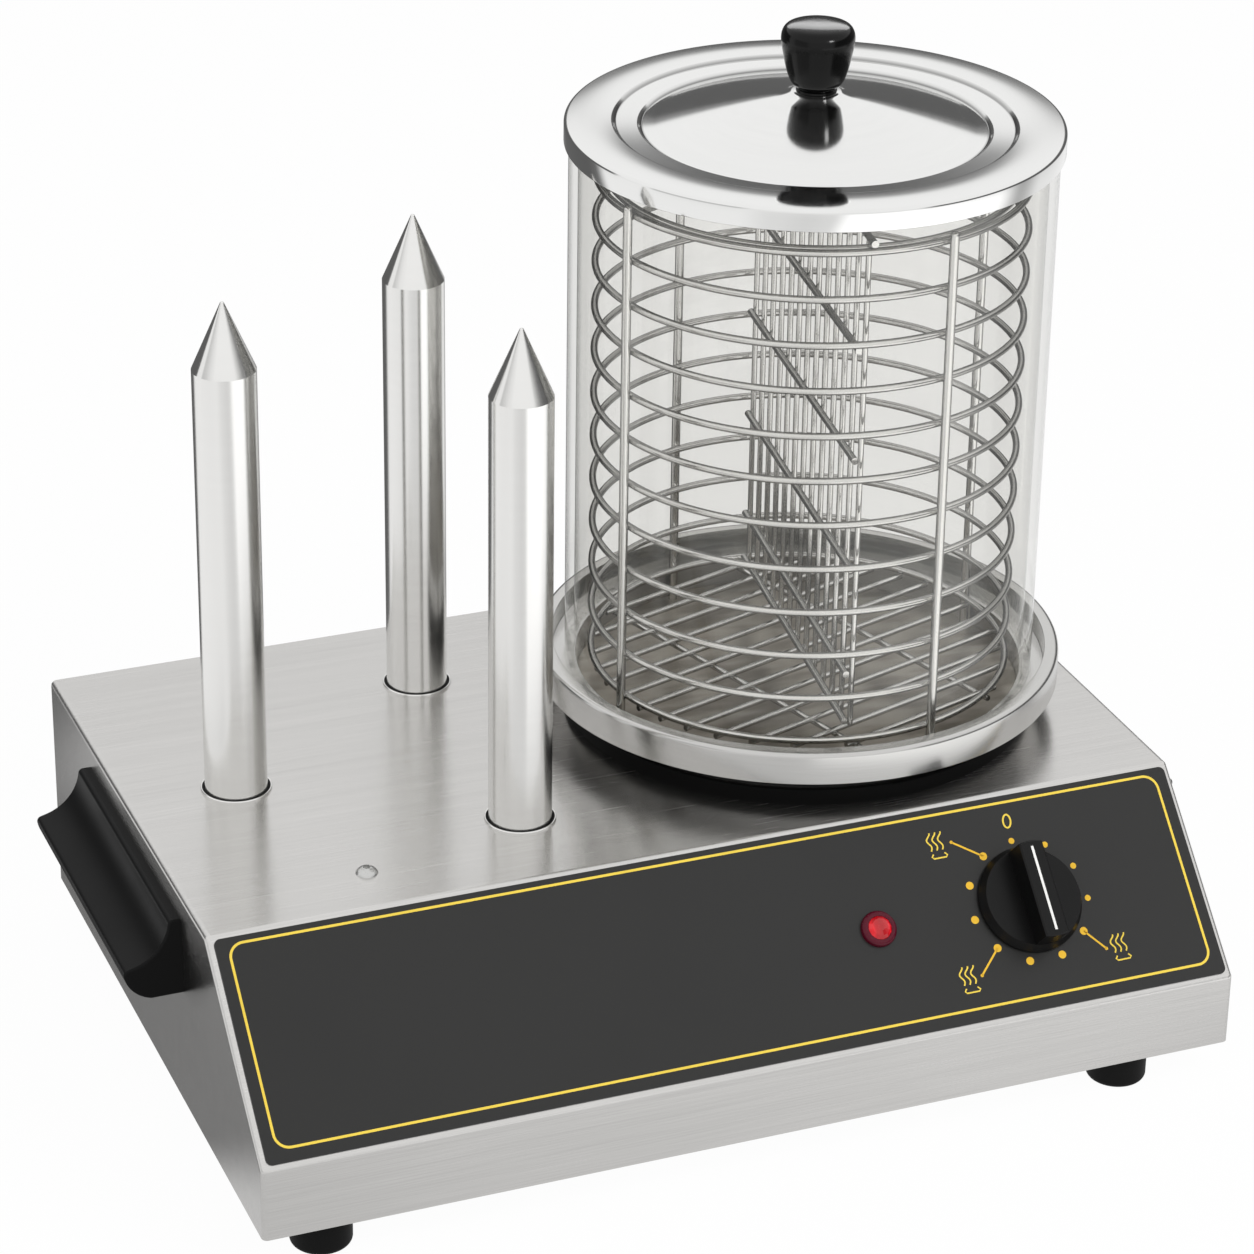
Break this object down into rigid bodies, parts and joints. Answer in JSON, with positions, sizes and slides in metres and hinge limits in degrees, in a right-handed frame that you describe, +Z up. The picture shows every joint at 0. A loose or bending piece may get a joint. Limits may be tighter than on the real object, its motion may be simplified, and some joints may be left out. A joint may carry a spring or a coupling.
{
  "type": "hot dog spike machine",
  "caption": "Countertop hot dog machine: lidded glass steam cylinder with wire basket on a heated water tank, beside upright heated bun spikes, on a sloping-front steel casing with a dial.",
  "frame": {"origin": "on the table, under the middle of the machine's outline", "axes": "+X to the operator's right, +Y to the back, +Z up"},
  "size_m": [0.4678, 0.314, 0.4158],
  "materials": {
    "stainless_brushed": "brushed stainless sheet, fine lines along the width",
    "stainless_polished": "polished stainless",
    "spike_steel": "turned stainless, satin round the axis",
    "wire_steel": "bright stainless wire",
    "fastener_steel": "bright zinc and stainless fasteners",
    "galvanised": "plain bright sheet",
    "aluminium_plate": "machined",
    "heater_sheath": "heat-darkened sheath",
    "handle_black": "satin black moulding",
    "dial_black": "satin black moulding",
    "knob_black": "high gloss black moulding",
    "panel_film": "dark grey film, yellow print",
    "pointer_white": "white inlay",
    "lens_red": "clear red, faceted",
    "bezel_dark_red": "dark red moulding",
    "inner_plastic": "cream moulding",
    "inner_dark_plastic": "dark moulding",
    "rubber_black": "soft black",
    "heat_bush": "dark silicone",
    "clear_glass": "clear, fire-polished edges",
    "collar_black": "black heat-proof ring"
  },
  "bodies": {
    "base": {"housing": "stainless_brushed", "rear_panel": "stainless_brushed", "bottom_plate": "galvanised", "foot_screws": "fastener_steel", "case_screws": "fastener_steel", "control_panel": "panel_film", "energy_regulator": "inner_plastic", "regulator_screws": "fastener_steel", "pilot_lens": "lens_red", "pilot_bezel": "bezel_dark_red", "pilot_body": "inner_dark_plastic", "handle_left": "handle_black", "handle_right": "handle_black", "handle_screws": "fastener_steel", "top_screw": "fastener_steel", "terminal_bracket": "galvanised", "terminal_block": "inner_plastic", "earth_stud": "fastener_steel", "cable_gland": "inner_dark_plastic", "gland_nut": "inner_dark_plastic", "support_collar": "collar_black", "hot_plate": "aluminium_plate", "ring_heater": "heater_sheath", "heater_clamp": "galvanised", "clamp_bolt": "fastener_steel", "limit_thermostat": "inner_dark_plastic", "foot_front_left": "rubber_black", "foot_front_right": "rubber_black", "foot_rear_left": "rubber_black", "foot_rear_right": "rubber_black", "spike_left_tube": "spike_steel", "spike_left_tip": "spike_steel", "spike_left_seal": "heat_bush", "spike_left_collar": "fastener_steel", "spike_left_heater": "heater_sheath", "spike_left_plug": "inner_plastic", "spike_rear_tube": "spike_steel", "spike_rear_tip": "spike_steel", "spike_rear_seal": "heat_bush", "spike_rear_collar": "fastener_steel", "spike_rear_heater": "heater_sheath", "spike_rear_plug": "inner_plastic", "spike_front_tube": "spike_steel", "spike_front_tip": "spike_steel", "spike_front_seal": "heat_bush", "spike_front_collar": "fastener_steel", "spike_front_heater": "heater_sheath", "spike_front_plug": "inner_plastic"},
    "tank": {"water_tank": "stainless_polished"},
    "basket": {"basket_rings": "wire_steel", "basket_posts": "wire_steel", "basket_floor": "wire_steel", "basket_divider": "wire_steel"},
    "glass": {"glass_cylinder": "clear_glass"},
    "lid": {"lid": "stainless_polished", "lid_knob": "knob_black", "lid_screw": "fastener_steel"},
    "knob": {"control_knob": "dial_black", "knob_pointer": "pointer_white", "regulator_shaft": "fastener_steel"}
  },
  "joints": [
    {"name": "tank_lift", "type": "slide", "parent": "base", "child": "tank", "axis": [0, 0, 1], "range_m": [0, 0.1]},
    {"name": "basket_lift", "type": "slide", "parent": "tank", "child": "basket", "axis": [0, 0, 1], "range_m": [0, 0.26]},
    {"name": "glass_lift", "type": "slide", "parent": "basket", "child": "glass", "axis": [0, 0, 1], "range_m": [0, 0.26]},
    {"name": "lid_lift", "type": "slide", "parent": "glass", "child": "lid", "axis": [0, 0, 1], "range_m": [0, 0.15]},
    {"name": "knob_turn", "type": "hinge", "parent": "base", "child": "knob", "pos_m": [0.1305, -0.12275, 0.07975], "axis": [0, -0.6966, 0.7175], "range_deg": [-327.3, 0]}
  ]
}
